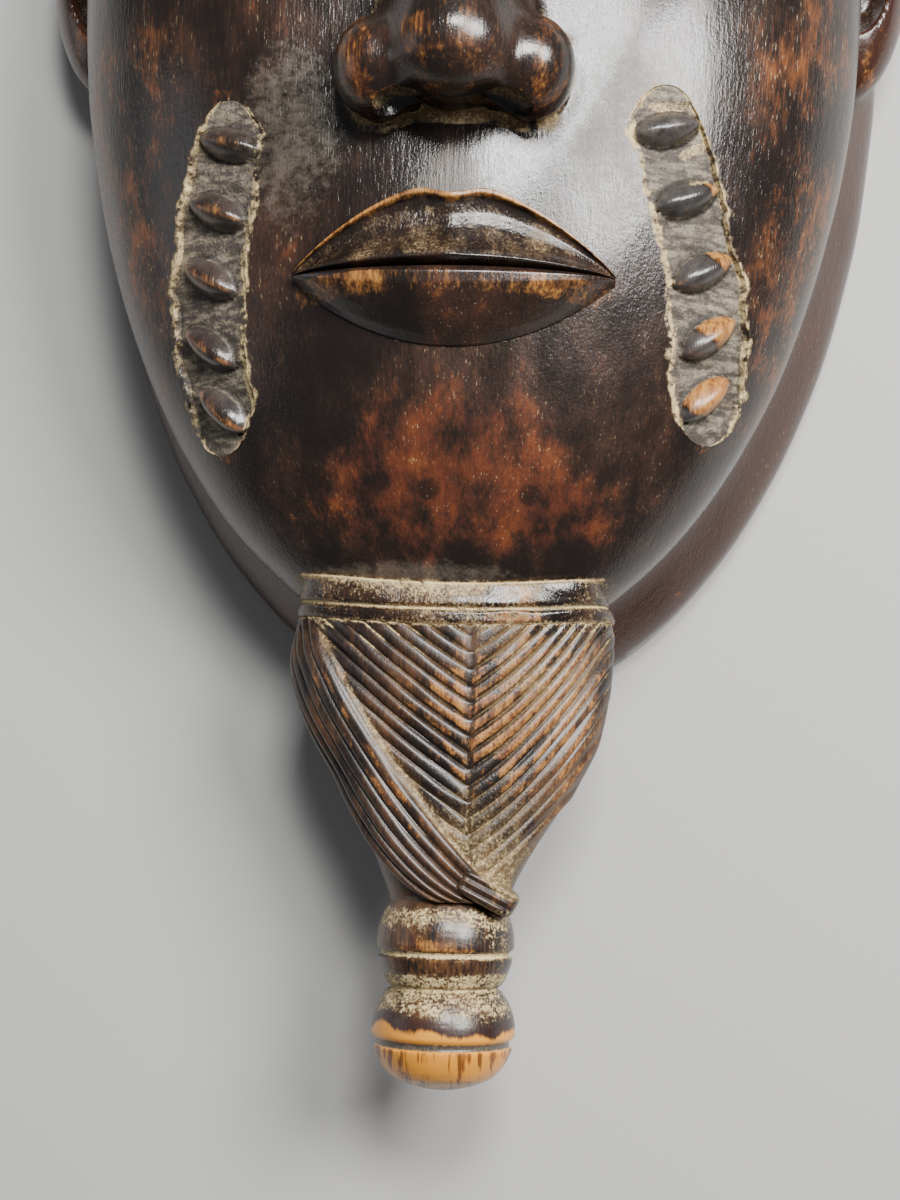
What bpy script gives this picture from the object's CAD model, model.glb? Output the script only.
"""A carved wooden face mask with a plaited beard, lying face up on its flat back rim.

The mask is one piece of wood. Its forms are laid out in millimetres on the face's own axes, where
y is 0 at the foot of the chin and z is 0 on the rim's plane. Each form starts as a sheet that is
rolled up and pushed into shape. The forms are fused, hollowed and given their small relief, and the
whole is then moved to its place in the frame, in metres.
"""

from __future__ import annotations

import logging
import math
from collections.abc import Callable, Iterable, Sequence
from dataclasses import dataclass
from enum import Enum
from itertools import product

import bpy
import numpy as np
from mathutils import Matrix, Vector

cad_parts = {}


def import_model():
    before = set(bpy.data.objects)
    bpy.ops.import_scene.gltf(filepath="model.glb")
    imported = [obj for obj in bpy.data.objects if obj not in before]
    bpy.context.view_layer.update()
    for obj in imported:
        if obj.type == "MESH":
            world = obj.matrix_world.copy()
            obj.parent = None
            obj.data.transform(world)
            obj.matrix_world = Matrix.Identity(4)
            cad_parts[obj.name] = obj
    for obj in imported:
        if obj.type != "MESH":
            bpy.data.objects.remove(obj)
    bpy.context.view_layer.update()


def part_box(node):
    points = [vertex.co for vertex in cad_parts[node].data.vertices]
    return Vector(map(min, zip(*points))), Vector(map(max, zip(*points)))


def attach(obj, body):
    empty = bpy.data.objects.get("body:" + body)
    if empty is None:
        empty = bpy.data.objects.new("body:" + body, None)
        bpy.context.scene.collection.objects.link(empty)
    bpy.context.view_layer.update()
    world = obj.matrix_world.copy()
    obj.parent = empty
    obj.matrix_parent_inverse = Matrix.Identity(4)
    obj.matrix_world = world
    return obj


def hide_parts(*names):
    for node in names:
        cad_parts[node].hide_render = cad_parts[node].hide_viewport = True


log = logging.getLogger("mask")

Array = np.ndarray
Item = bpy.types.Object
Pair = tuple[float, float]
Place = Callable[[Array, Array], Array]
MM = 0.001
SIDES = (-1, 1)


def rows(*columns: Array) -> Array:
    """Returns the columns side by side, one row for each entry."""
    return np.stack(columns, axis=-1)


def ramp(low: float, high: float, value: Array) -> Array:
    """Returns 0 below low and 1 above high, with an eased rise between."""
    t = np.clip((value - low) / (high - low), 0.0, 1.0)
    return t * t * (3 - 2 * t)


def peak(value: Array, centre: float, half: float, power: int = 2) -> Array:
    """Returns 1 where value is centre, and less on both sides the further off it is."""
    return np.exp(-(((value - centre) / half) ** power))


def bell(x: Array, y: Array, centre: Pair, spread: Pair) -> Array:
    """Returns a round hill of height 1 over centre."""
    return np.exp(-(((x - centre[0]) / spread[0]) ** 2 + ((y - centre[1]) / spread[1]) ** 2) / 2)


def hills(x: Array, y: Array, table: Iterable[tuple[float, Pair, Pair]]) -> Array:
    """Returns the sum of round hills, each row giving a height, a centre and a spread."""
    return sum(height * bell(x, y, centre, spread) for height, centre, spread in table)


def part_turn(turn: Array) -> Array:
    """Returns an angle as a share of one turn, from 0 to 1."""
    return turn / (2 * math.pi) % 1.0


def faired(stations: Sequence[Sequence[float]], share: Array, reach: float) -> Array:
    """Reads a row of stations as one smooth curve.

    Args:
        stations: Rows of values, evenly spaced along the curve.
        share: Where to read it, from 0 at the first row to 1 at the last.
        reach: How far the corners are rounded, as a share of the curve.

    Returns:
        One row of values for each entry of share.
    """
    table = np.asarray(stations, float)
    marks = np.linspace(0, 1, len(table))
    taps = np.linspace(-1, 1, 9)
    weights = np.cos(taps * math.pi / 2) + 0.05
    near = np.minimum(share, 1 - share)
    total = np.zeros((len(share), table.shape[1]))
    for tap, weight in zip(taps, weights / weights.sum()):
        at = share + tap * np.minimum(reach, near)
        for column in range(table.shape[1]):
            total[:, column] += weight * np.interp(at, marks, table[:, column])
    return total


def spaced(count: int, phases: Sequence[float]) -> Array:
    """Returns places from 0 to 1 that repeat the given phases in each of count equal cells."""
    places = [(cell + phase) / count for cell in range(count) for phase in phases]
    return np.array([*places, 1.0])


class Lattice:
    """Smooth random values through space, the same in every run."""

    def __init__(self, seed: int, size: int = 32) -> None:
        """Fills the lattice from its seed."""
        self.size = size
        self.table = np.random.default_rng(seed).uniform(-1, 1, (size,) * 3)

    def at(self, points: Array, scale: float | Sequence[float]) -> Array:
        """Returns a value between -1 and 1 for each point, with cells of the given scale.

        Args:
            points: Places in millimetres, one row each.
            scale: The cells' size, one number or one for each axis.

        Returns:
            One value for each point.
        """
        places = points / np.asarray(scale, float)
        cell = np.floor(places).astype(int)
        part = places - cell
        part = part * part * (3 - 2 * part)
        total = np.zeros(len(points))
        for corner in product((0, 1), repeat=3):
            weight = np.prod(np.where(corner, part, 1 - part), axis=1)
            i, j, k = ((cell + corner) % self.size).T
            total += weight * self.table[i, j, k]
        return total


class Joint(Enum):
    """How one closed form meets another."""

    UNION = "UNION"
    CUT = "DIFFERENCE"


class Bench:
    """The modelling operations that every form uses."""

    @staticmethod
    def pick(*objects: Item) -> None:
        """Selects the objects alone, with the first one active."""
        bpy.ops.object.select_all(action="DESELECT")
        for item in objects:
            item.select_set(True)
        bpy.context.view_layer.objects.active = objects[0]

    @staticmethod
    def points(item: Item) -> Array:
        """Returns the mesh's points, one row each."""
        flat = np.empty(len(item.data.vertices) * 3)
        item.data.vertices.foreach_get("co", flat)
        return flat.reshape(-1, 3)

    @staticmethod
    def normals(item: Item) -> Array:
        """Returns the outward normal at each point."""
        flat = np.empty(len(item.data.vertices) * 3)
        item.data.vertex_normals.foreach_get("vector", flat)
        return flat.reshape(-1, 3)

    @staticmethod
    def edges(item: Item) -> Array:
        """Returns the two points of each edge, one row each."""
        flat = np.empty(len(item.data.edges) * 2, int)
        item.data.edges.foreach_get("vertices", flat)
        return flat.reshape(-1, 2)

    @staticmethod
    def triangles(item: Item) -> int:
        """Returns how many triangles the mesh's faces come to."""
        return sum(len(face.vertices) - 2 for face in item.data.polygons)

    @staticmethod
    def move(item: Item, points: Array) -> None:
        """Puts the mesh's points at new places."""
        item.data.vertices.foreach_set("co", np.ascontiguousarray(points).ravel())
        item.data.update()

    @staticmethod
    def group(item: Item, name: str, chosen: Array) -> str:
        """Makes a vertex group of the points for which chosen is True and returns its name."""
        group = item.vertex_groups.new(name=name)
        group.add(np.flatnonzero(chosen).tolist(), 1.0, "REPLACE")
        return group.name

    @classmethod
    def form(cls, name: str, segments: int, rings: int, place: Place) -> Item:
        """Rolls a sheet into a closed form.

        Args:
            name: The new object's name.
            segments: Points round each ring.
            rings: Rings from pole to pole.
            place: Gives the places from the turn round the form and the share of the way from
                its first pole to its last.

        Returns:
            The new object, closed and facing outwards.
        """
        bpy.ops.object.select_all(action="DESELECT")
        bpy.ops.mesh.primitive_grid_add(x_subdivisions=segments, y_subdivisions=rings, size=2)
        item = bpy.context.object
        item.name = name
        sheet = cls.points(item)
        share = (1 - sheet[:, 1]) / 2
        placed = place(sheet[:, 0] * math.pi, share)
        for pole in (0.0, 1.0):
            at_pole = np.abs(share - pole) < 0.25 / rings
            beside = np.abs(np.abs(share - pole) - 1 / rings) < 0.25 / rings
            placed[at_pole] = placed[beside].mean(axis=0)
        cls.move(item, placed)
        bpy.ops.object.mode_set(mode="EDIT")
        bpy.ops.mesh.select_all(action="SELECT")
        bpy.ops.mesh.remove_doubles(threshold=0.001)
        bpy.ops.mesh.normals_make_consistent(inside=False)
        bpy.ops.object.mode_set(mode="OBJECT")
        return item

    @classmethod
    def ball(
        cls, name: str, centre: Sequence[float], radii: Sequence[float], segments: int = 48
    ) -> Item:
        """Adds an ellipsoid at centre with the given radii."""

        def place(turn: Array, share: Array) -> Array:
            polar = share * math.pi
            unit = rows(np.sin(polar) * np.cos(turn), np.sin(polar) * np.sin(turn), np.cos(polar))
            return unit * radii + centre

        return cls.form(name, segments, segments // 2, place)

    @classmethod
    def apply(cls, item: Item, kind: str, **settings: object) -> None:
        """Adds a modifier with its settings and applies it.

        Args:
            item: The object.
            kind: The modifier's type.
            settings: The modifier's settings, by name.
        """
        cls.pick(item)
        modifier = item.modifiers.new(kind.title(), kind)
        for key, value in settings.items():
            setattr(modifier, key, value)
        bpy.ops.object.modifier_apply(modifier=modifier.name)

    @classmethod
    def combine(cls, item: Item, others: Iterable[Item], how: Joint) -> None:
        """Joins item with each of the other closed forms or cuts them from it, using them up.

        Args:
            item: The object that is kept.
            others: Closed objects.
            how: Whether they are joined or cut.
        """
        for other in others:
            cls.apply(item, "BOOLEAN", operation=how.value, object=other, solver="MANIFOLD")
            bpy.data.objects.remove(other)

    @classmethod
    def fuse(cls, name: str, items: Sequence[Item], voxel: float, rounds: int) -> Item:
        """Fuses overlapping forms into one skin and eases the creases between them.

        Args:
            name: The fused object's name.
            items: Closed forms.
            voxel: The skin's mesh size.
            rounds: Rounds of smoothing.

        Returns:
            The fused object.
        """
        cls.pick(*items)
        bpy.ops.object.join()
        item = bpy.context.object
        item.name = name
        cls.apply(item, "REMESH", mode="VOXEL", voxel_size=voxel, adaptivity=0.0)
        cls.apply(item, "SMOOTH", factor=0.5, iterations=rounds)
        return item

    @classmethod
    def thin(cls, item: Item, triangles: int, spared: Array) -> None:
        """Thins the mesh to about the given number of triangles.

        Args:
            item: The object to thin.
            triangles: How many are to be left.
            spared: True for each point that stays as it is.
        """
        group = cls.group(item, "thinned", ~spared)
        cls.apply(item, "DECIMATE", ratio=triangles / cls.triangles(item), vertex_group=group)

    @classmethod
    def depth(cls, item: Item, rounds: int) -> Array:
        """Returns how deep each point lies below its surroundings, smoothed in so many rounds.

        Args:
            item: The object.
            rounds: Rounds of smoothing.

        Returns:
            One depth for each point, in millimetres.
        """
        points = cls.points(item)
        edges = cls.edges(item)
        first, second = edges.T
        count = len(points)
        degree = np.bincount(edges.ravel(), minlength=count)
        smoothed = points.copy()
        for _ in range(rounds):
            near = rows(
                *(
                    np.bincount(first, smoothed[second, axis], count)
                    + np.bincount(second, smoothed[first, axis], count)
                    for axis in range(3)
                )
            )
            smoothed = 0.5 * smoothed + 0.5 * near / degree[:, None]
        return np.einsum("ij,ij->i", smoothed - points, cls.normals(item))


@dataclass(frozen=True)
class Shell:
    """The egg-shaped front of the mask, its side walls and its flared lower rim."""

    eye: float = 32.0
    widest_y: float = 130.0
    jaw_lower: float = 143.0
    jaw_upper: float = 140.0
    jaw_z: float = 34.0
    dome_rise: float = 40.0
    dome_power: float = 2.2
    wall: float = 11.0
    flare_lip: float = 6.0
    flare_lower: float = 151.0
    flare_half: float = 86.0
    flare_shift: float = 2.0
    neck_z: float = 23.0
    neck_lower: float = 140.0
    neck_half: float = 79.0

    @property
    def face_half(self) -> float:
        """Half the face's width: two and a half eyes."""
        return 2.5 * self.eye

    @property
    def third(self) -> float:
        """One third of the face's height."""
        return 2.5 * self.eye

    @property
    def mouth_y(self) -> float:
        """Height of the mouth line above the chin."""
        return self.third * 2 / 3

    @property
    def eye_y(self) -> float:
        """Height of the eyes above the chin."""
        return 2 * self.third - self.eye / 2

    def egg(self, turn: Array, half: Array, lower: Array, upper: Array) -> tuple[Array, Array]:
        """Returns x and y on an egg outline."""
        reach = np.where(np.sin(turn) < 0, lower, upper)
        return half * np.cos(turn), self.widest_y + reach * np.sin(turn)

    def wall_at(self, z: Array) -> tuple[Array, Array, Array]:
        """Returns the wall's half-width, lower reach and shift to the right at height z.

        Args:
            z: How far above the rim's plane, in millimetres.

        Returns:
            The half-width, the lower reach and the shift, one of each for each height.
        """
        flare = 1 - ramp(self.flare_lip, self.neck_z, z)
        jaw = ramp(self.neck_z, self.jaw_z, z)
        half = self.neck_half + (self.flare_half - self.neck_half) * flare
        lower = self.neck_lower + (self.flare_lower - self.neck_lower) * flare
        half = half + (self.face_half - self.neck_half) * jaw
        lower = lower + (self.jaw_lower - self.neck_lower) * jaw
        return half, lower, self.flare_shift * flare

    def modelling(self, x: Array, y: Array) -> Array:
        """Returns the soft hills and hollows of the face, the same on both sides.

        Args:
            x: How far to the right of the face's middle, in millimetres.
            y: How far above the foot of the chin, in millimetres.

        Returns:
            How far the face rises there, below 0 in a hollow.
        """
        muzzle = (3.5, (0, self.mouth_y + 2), (26, 20))
        chin = (2.5, (0, 20), (24, 13))
        cheeks = (2.5, (46, 104), (18, 22))
        forehead = (3.5, (0, 206), (38, 26))
        eye_hollows = (-6.5, (self.eye, self.eye_y), (19, 12))
        return hills(np.abs(x), y, (muzzle, chin, cheeks, forehead, eye_hollows))

    def height(self, x: Array, y: Array) -> Array:
        """Returns the height of the face's front over x, y.

        Args:
            x: How far to the right of the face's middle, in millimetres.
            y: How far above the foot of the chin, in millimetres.

        Returns:
            One height above the rim's plane for each place.
        """
        along = np.where(y < self.widest_y, self.jaw_lower, self.jaw_upper)
        reach = np.minimum(1, np.hypot(x / self.face_half, (y - self.widest_y) / along))
        dome = self.dome_rise * np.sqrt(1 - reach**self.dome_power)
        return self.jaw_z + dome + self.modelling(x, y) * (1 - reach**6)

    def on_face(self, x: Array, y: Array, out: Array | float = 0.0) -> Array:
        """Returns the points that lie out from the face's front over x, y.

        Args:
            x: How far to the right of the face's middle, in millimetres.
            y: How far above the foot of the chin, in millimetres.
            out: How far above the surface, in millimetres.

        Returns:
            The points, one row each.
        """
        x, y = np.broadcast_arrays(np.asarray(x, float), np.asarray(y, float))
        step = 0.5
        normal = rows(
            self.height(x - step, y) - self.height(x + step, y),
            self.height(x, y - step) - self.height(x, y + step),
            np.full(x.shape, 2 * step),
        )
        normal /= np.linalg.norm(normal, axis=-1, keepdims=True)
        return rows(x, y, self.height(x, y)) + normal * np.asarray(out)[..., None]


@dataclass(frozen=True)
class Hair:
    """The combed cap of hair and the fillet that follows the hairline."""

    shell: Shell
    rise: float = 4.5
    fillet_rise: float = 6.0
    fillet_width: float = 7.0
    fillet_lines: Pair = (2.2, 4.8)
    temple_y: float = 163.0
    temple_half: float = 78.0
    flutes: int = 40
    flute_depth: float = 1.4

    def behind(self, x: Array, y: Array) -> Array:
        """Returns the distance behind the hairline, negative on the face's side.

        Args:
            x: How far to the right of the face's middle, in millimetres.
            y: How far above the foot of the chin, in millimetres.

        Returns:
            One distance for each place.
        """
        top = 3 * self.shell.third
        fall = (top - self.temple_y) / self.temple_half**2
        over_arch = (y - top + fall * x * x) / np.sqrt(1 + (2 * fall * x) ** 2)
        return np.minimum(over_arch, y - self.temple_y)

    def rise_at(self, x: Array, y: Array, turn: Array) -> Array:
        """Returns how far the hair and fillet stand out from the shell.

        Args:
            x: How far to the right of the face's middle, in millimetres.
            y: How far above the foot of the chin, in millimetres.
            turn: The angle round the form.

        Returns:
            One rise for each place.
        """
        behind = self.behind(x, y)
        ridge = 2 * np.abs(np.cos(self.flutes / 2 * turn)) ** 0.7 - 1
        fillet = ramp(-0.7, 0.7, behind) * (1 - ramp(-0.6, 0.6, behind - self.fillet_width))
        cap = ramp(-0.2, 1.4, behind - self.fillet_width)
        return self.fillet_rise * fillet + (self.rise + self.flute_depth * ridge) * cap

    def lines(self, points: Array) -> Array:
        """Returns the depth of the lines that are cut along the fillet."""
        behind = self.behind(points[:, 0], points[:, 1])
        return sum(0.7 * peak(behind, line, 0.45) for line in self.fillet_lines)


@dataclass(frozen=True)
class Head:
    """The shell with its hair, nose, lips, eyes, brows and ears."""

    shell: Shell
    hair: Hair
    dome_share: float = 0.55
    wall_share: float = 0.84
    voxel: float = 0.75
    skin_rounds: int = 4
    nose_half: float = 27.0
    nose_y: Pair = (76.0, 118.0)
    nose_rise: float = 1.5
    nose_rounds: int = 30
    nose_sunk: float = 5.0
    nose_stations: tuple[tuple[float, ...], ...] = (
        (163, 6.5, 0.5), (154, 8.5, 4), (146, 9.5, 6.8), (138, 10.2, 9), (129, 11, 11.6),
        (120, 12, 14.2), (112, 13.2, 16.8), (104, 14.8, 19.3), (97, 16.6, 21.4),
        (91, 18, 22.4), (86, 18.4, 21.6), (82, 15, 16),
    )
    upper_lip: tuple[Pair, ...] = (
        (1, -6), (1, 0.5), (1, 3), (0.96, 4.6), (0.9, 4.6), (0.85, 3.3), (0.7, 2.8),
        (0.5, 3.3), (0.3, 4.8), (0.14, 6.8), (0.05, 7.4), (0, 5.4), (0, -6),
    )
    lower_lip: tuple[Pair, ...] = (
        (0, -6), (0, 4), (0.05, 6.4), (0.14, 7.4), (0.3, 7.4), (0.46, 6.4), (0.66, 4.6),
        (0.86, 2.4), (1, 0.3), (1, -6),
    )

    @property
    def mouth_half(self) -> float:
        """Half the mouth's width."""
        return self.shell.eye * 15 / 16

    def place_shell(self, turn: Array, share: Array) -> Array:
        """Returns the shell's outer surface, with hair and fillet.

        Args:
            turn: The angle round the form.
            share: The share of the way from the first pole to the last.

        Returns:
            The places, one row each.
        """
        shell = self.shell
        polar = np.clip(share / self.dome_share, 0, 1) * math.pi / 2
        spread = np.sin(polar)
        down = np.clip((share - self.dome_share) / (self.wall_share - self.dome_share), 0, 1)
        z = shell.jaw_z * (1 - down)
        half, lower, shift = shell.wall_at(z)
        shrink = np.clip((1 - share) / (1 - self.wall_share), 0, 1)
        x, y = shell.egg(turn, half * spread, lower * spread, shell.jaw_upper * spread)
        rise = self.hair.rise_at(x, y, turn)
        on_dome = share <= self.dome_share
        z = np.where(on_dome, shell.height(x, y) + rise * np.cos(polar), z)
        x = (x + shift + rise * spread * np.cos(turn)) * shrink
        y = (y - shell.widest_y + rise * spread * np.sin(turn)) * shrink + shell.widest_y
        return rows(x, y, z)

    def nose(self) -> list[Item]:
        """Makes the nose's bridge, tip and wings."""
        shell = self.shell
        base = shell.third

        def place(turn: Array, share: Array) -> Array:
            y, half, rise = faired(self.nose_stations, share, 0.04).T
            lift = np.sin(turn)
            reach = np.where(lift < 0, self.nose_sunk, rise + self.nose_sunk)
            pinch = 1 - 0.12 * np.clip(lift, 0, 1) ** 2
            z = shell.height(np.zeros_like(y), y) - self.nose_sunk + reach * lift
            return rows(half * np.cos(turn) * pinch, y, z)

        tip_z = float(shell.height(0.0, base + 10)) + 13
        wing_z = float(shell.height(14.0, base + 8)) + 6
        parts = [Bench.form("nose_bridge", 64, 80, place)]
        parts.append(Bench.ball("nose_tip", (0, base + 10.5, tip_z), (11, 10, 9.5)))
        for side in SIDES:
            parts.append(Bench.ball("nose_wing", (side * 14, base + 9, wing_z), (8, 9.5, 9.5)))
        return parts

    def lip(self, name: str, edge: Callable[[Array], Array], profile: Sequence[Pair]) -> Item:
        """Makes one lip from corner to corner.

        Args:
            name: The lip's name.
            edge: Gives the y of the lip's outer edge from -1 to 1 across the mouth.
            profile: Steps round the lip, from 0 at the mouth line to 1 at the outer edge, each
                with its height.

        Returns:
            The lip's form.
        """
        shell = self.shell
        closed = [*profile, profile[0]]

        def place(turn: Array, share: Array) -> Array:
            t = -np.cos(share * math.pi) * 0.995
            x = t * self.mouth_half
            outward, rise = faired(closed, part_turn(turn), 0.02).T
            full = (1 - t * t) ** 0.4
            y = shell.mouth_y + (edge(t) - shell.mouth_y) * outward
            middle = 0.9 * peak(t, 0, 0.09) * (edge(0.0) > shell.mouth_y)
            z = shell.height(x, y) + np.where(rise > 0, (rise + middle) * full, rise)
            return rows(x, y, z)

        return Bench.form(name, 90, 80, place)

    def bow(self, t: Array) -> Array:
        """Returns the y of the upper lip's edge, from -1 to 1 across the mouth."""
        dip = 1 - 0.16 * peak(t, 0, 0.14)
        return self.shell.mouth_y + 15 * (1 - np.abs(t) ** 1.7) * dip + 0.6

    def pout(self, t: Array) -> Array:
        """Returns the y of the lower lip's edge, from -1 to 1 across the mouth."""
        return self.shell.mouth_y - 12.5 * (1 - np.abs(t) ** 2.1) - 0.6

    def lids(self) -> list[Item]:
        """Makes the closed-looking lids."""
        x, y = self.shell.eye, self.shell.eye_y
        z = float(self.shell.height(x, y)) - 1.5
        return [Bench.ball("lids", (side * x, y, z), (17.5, 9.5, 7.5), 64) for side in SIDES]

    def brow(self, side: int) -> Item:
        """Makes the raised brow of one side."""

        def place(turn: Array, share: Array) -> Array:
            swing = np.sin(math.pi * np.minimum(1, share * 0.8 + 0.12))
            y = 2 * self.shell.third - 8 + 15 * swing - 4 * share**2
            taper = np.sin(math.pi * np.clip(share, 0, 1)) ** 0.35
            y = y + 3.4 * taper * np.cos(turn)
            return self.shell.on_face(side * (9 + 55 * share), y, 0.3 + 3.0 * taper * np.sin(turn))

        return Bench.form("brow", 32, 64, place)

    def ears(self) -> list[Item]:
        """Makes the ears, hollowed from the front."""
        wall = self.shell.face_half
        parts = []
        for side in SIDES:
            leaf = Bench.ball("ear", (side * wall, 141, 16), (13.2, 31, 12), 96)
            hollow = Bench.ball("ear_hollow", (side * (wall + 1), 142, 28), (8.2, 21.5, 12.4), 64)
            Bench.combine(leaf, [hollow], Joint.CUT)
            parts.append(leaf)
            parts.append(Bench.ball("ear_fold", (side * (wall + 2), 135, 14), (3.4, 9, 7), 32))
        return parts

    def build(self) -> Item:
        """Fuses the head's forms into one skin and softens the creases round the nose."""
        skin = Bench.form("head", 512, 256, self.place_shell)
        forms = [skin, *self.nose(), *self.lids(), *self.ears()]
        head = Bench.fuse("head", forms, self.voxel, self.skin_rounds)
        x, y, z = Bench.points(head).T
        low, high = self.nose_y
        nose = (np.abs(x) < self.nose_half) & (y > low) & (y < high)
        nose = nose & (z > self.shell.height(x, y) + self.nose_rise)
        group = Bench.group(head, "nose", nose)
        Bench.apply(head, "SMOOTH", factor=0.5, iterations=self.nose_rounds, vertex_group=group)
        return head

    def details(self) -> list[Item]:
        """Makes the forms that keep a cut edge where they meet the face."""
        lips = [
            self.lip("upper_lip", self.bow, self.upper_lip),
            self.lip("lower_lip", self.pout, self.lower_lip),
        ]
        return lips + [self.brow(side) for side in SIDES]

    def slit(self, side: int) -> Item:
        """Makes the cutter for one eye slit.

        Args:
            side: -1 for the left and 1 for the right.

        Returns:
            The cutter, a closed form.
        """
        shell = self.shell
        half = shell.eye / 2 - 2.5

        def place(turn: Array, share: Array) -> Array:
            x = half * np.cos(turn)
            lift = np.sin(turn)
            belly = 3.0 * (1 - (x / half) ** 2)
            y = np.where(lift > 0, 0.35 * belly * lift, belly * lift)
            return rows(x + side * shell.eye, y + shell.eye_y + 0.5, 20 + 90 * (1 - share))

        return Bench.form("slit", 48, 12, place)

    def openings(self) -> list[Item]:
        """Makes the cutters for the eye slits and nostrils."""
        nostril_z = float(self.shell.height(14.0, self.shell.third + 8)) + 9
        cutters = []
        for side in SIDES:
            nostril = (side * 9.5, self.shell.third, nostril_z)
            cutters.append(self.slit(side))
            cutters.append(Bench.ball("nostril", nostril, (5, 5.5, 4), 32))
        return cutters

    def across_mouth(self, x: Array) -> tuple[Array, Array]:
        """Returns x as -1 to 1 across the mouth and whether it is within the corners."""
        return np.clip(x / self.mouth_half, -1, 1), np.abs(x) < self.mouth_half

    def near_lips(self, x: Array, y: Array) -> Array:
        """Returns True on and round the lips.

        Args:
            x: How far to the right of the face's middle, in millimetres.
            y: How far above the foot of the chin, in millimetres.

        Returns:
            True or False for each place.
        """
        margin = 2.5
        t, _ = self.across_mouth(x)
        low, high = self.pout(t) - margin, self.bow(t) + margin
        return (np.abs(x) < self.mouth_half + margin) & (y > low) & (y < high)

    def worn(self, x: Array, y: Array) -> Array:
        """Returns how far the upper lip's border and the lower lip's roll are rubbed.

        Args:
            x: How far to the right of the face's middle, in millimetres.
            y: How far above the foot of the chin, in millimetres.

        Returns:
            One share for each place, from 0 to 1.
        """
        t, within = self.across_mouth(x)
        up = y - self.shell.mouth_y
        border = peak(up / (self.bow(t) - self.shell.mouth_y), 0.93, 0.09) * (up > 1)
        side = np.abs(t)
        roll = ramp(-6.5, -4.5, up) * (1 - ramp(-1.6, -0.6, up))
        roll = roll * (0.55 + 0.25 * ramp(0.1, 0.6, side) * (1 - ramp(0.75, 1.0, side)))
        return (border * 0.95 + roll * 0.9) * within * (up > -12)

    def dusty(self, x: Array, y: Array) -> Array:
        """Returns how thick the dust lies in the upper lip's sunk facets.

        Args:
            x: How far to the right of the face's middle, in millimetres.
            y: How far above the foot of the chin, in millimetres.

        Returns:
            One share for each place, from 0 to 1.
        """
        t, _ = self.across_mouth(x)
        height = (y - self.shell.mouth_y) / (self.bow(t) - self.shell.mouth_y)
        facet = ramp(0.02, 0.1, height) * (1 - ramp(0.76, 0.84, height))
        return 0.65 * facet * (np.abs(x) < self.mouth_half - 1) * (y > self.shell.mouth_y)


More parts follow.
